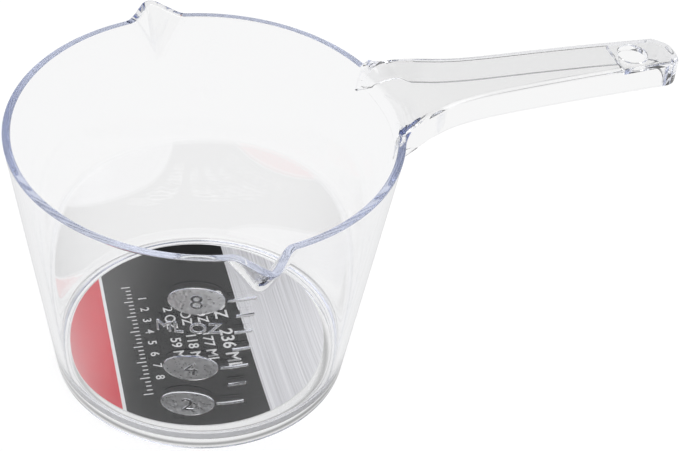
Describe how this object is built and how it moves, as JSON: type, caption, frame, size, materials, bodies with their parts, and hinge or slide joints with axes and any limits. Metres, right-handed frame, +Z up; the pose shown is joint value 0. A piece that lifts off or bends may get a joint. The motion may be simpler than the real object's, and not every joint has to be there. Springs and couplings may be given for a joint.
{
  "type": "measuring cup",
  "caption": "Clear tapered plastic measuring cup with pouring spouts, a long channelled handle with a hang hole, and a printed label on the floor inside.",
  "frame": {"origin": "on the cup's axis, at the flat underside of the floor inside the low foot ring", "axes": "+X from the cup's axis along the handle, +Y and -Y towards the spouts, +Z up to the rim; the raised marks are on the -Y side"},
  "size_m": [0.1641, 0.1046, 0.0706],
  "materials": {
    "clear_plastic": "clear, glossy, with a faint violet tint in its thick edges",
    "printed_paper": "glossy printed sticker"
  },
  "bodies": {
    "root": {"cup_body": "clear_plastic", "floor_label": "printed_paper"}
  },
  "joints": []
}
